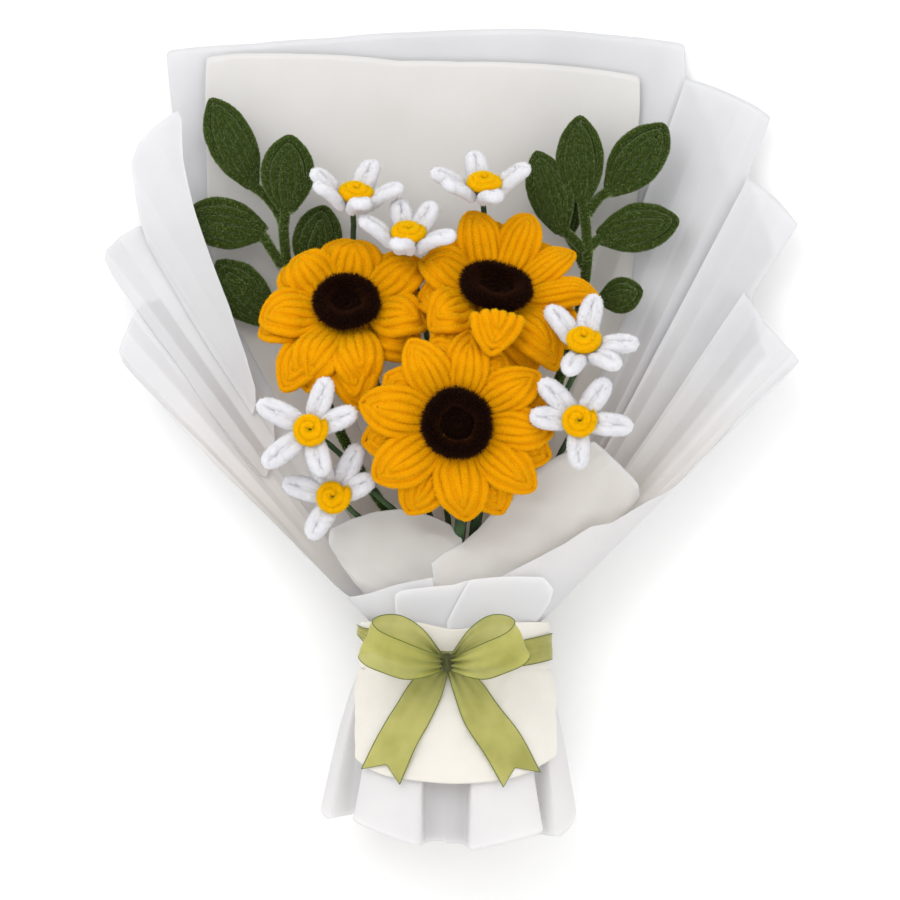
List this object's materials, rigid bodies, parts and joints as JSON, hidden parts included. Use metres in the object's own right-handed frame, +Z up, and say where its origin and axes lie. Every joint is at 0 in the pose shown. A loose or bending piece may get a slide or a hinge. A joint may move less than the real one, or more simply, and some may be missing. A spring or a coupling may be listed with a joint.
{
  "type": "wrapped bouquet of chenille sunflowers",
  "caption": "Hand-tied bouquet of chenille sunflowers, daisies and leaf sprays in a white paper wrap with an organza bow, lying on its back.",
  "frame": {"origin": "on the surface the bouquet lies on, under the middle of its bounding box", "axes": "+X to the right as seen from above, +Y from the skirt's hem to the top of the wrap, +Z up from the surface"},
  "size_m": [0.343, 0.4107, 0.1098],
  "materials": {
    "sunflower_chenille": "soft fuzzy chenille, matt",
    "disc_chenille": "soft fuzzy chenille, matt",
    "daisy_chenille": "soft fuzzy chenille, matt",
    "centre_chenille": "soft fuzzy chenille, matt",
    "leaf_chenille": "soft fuzzy chenille, matt",
    "stem_wire": "wire bound in green tape, matt",
    "wrap_paper": "white, slightly translucent, matt",
    "liner_paper": "warm white, matt",
    "tissue_paper": "cream tissue, translucent, matt",
    "organza": "sheer woven ribbon with denser edges, soft sheen"
  },
  "bodies": {
    "root": {"collar_left": "tissue_paper", "collar_right": "tissue_paper", "daisy_1_centre": "centre_chenille", "daisy_1_petals": "daisy_chenille", "daisy_1_stem": "stem_wire", "daisy_2_centre": "centre_chenille", "daisy_2_petals": "daisy_chenille", "daisy_2_stem": "stem_wire", "daisy_3_centre": "centre_chenille", "daisy_3_petals": "daisy_chenille", "daisy_3_stem": "stem_wire", "daisy_4_centre": "centre_chenille", "daisy_4_petals": "daisy_chenille", "daisy_4_stem": "stem_wire", "daisy_5_centre": "centre_chenille", "daisy_5_petals": "daisy_chenille", "daisy_5_stem": "stem_wire", "daisy_6_centre": "centre_chenille", "daisy_6_petals": "daisy_chenille", "daisy_6_stem": "stem_wire", "daisy_7_centre": "centre_chenille", "daisy_7_petals": "daisy_chenille", "daisy_7_stem": "stem_wire", "leaf_spray_left": "leaf_chenille", "leaf_spray_right": "leaf_chenille", "ribbon_band": "organza", "ribbon_bow": "organza", "skirt": "wrap_paper", "stem_padding": "tissue_paper", "sunflower_left_disc": "disc_chenille", "sunflower_left_petals": "sunflower_chenille", "sunflower_left_stem": "stem_wire", "sunflower_low_disc": "disc_chenille", "sunflower_low_petals": "sunflower_chenille", "sunflower_low_stem": "stem_wire", "sunflower_right_disc": "disc_chenille", "sunflower_right_petals": "sunflower_chenille", "sunflower_right_stem": "stem_wire", "tissue_left": "tissue_paper", "tissue_right": "tissue_paper", "waist_cuff": "tissue_paper", "wrap_back_sheet": "wrap_paper", "wrap_left_lower_fold": "wrap_paper", "wrap_left_middle_fold": "wrap_paper", "wrap_left_upper_fold": "wrap_paper", "wrap_liner": "liner_paper", "wrap_right_lower_fold": "wrap_paper", "wrap_right_middle_fold": "wrap_paper", "wrap_right_upper_fold": "wrap_paper"}
  },
  "joints": []
}
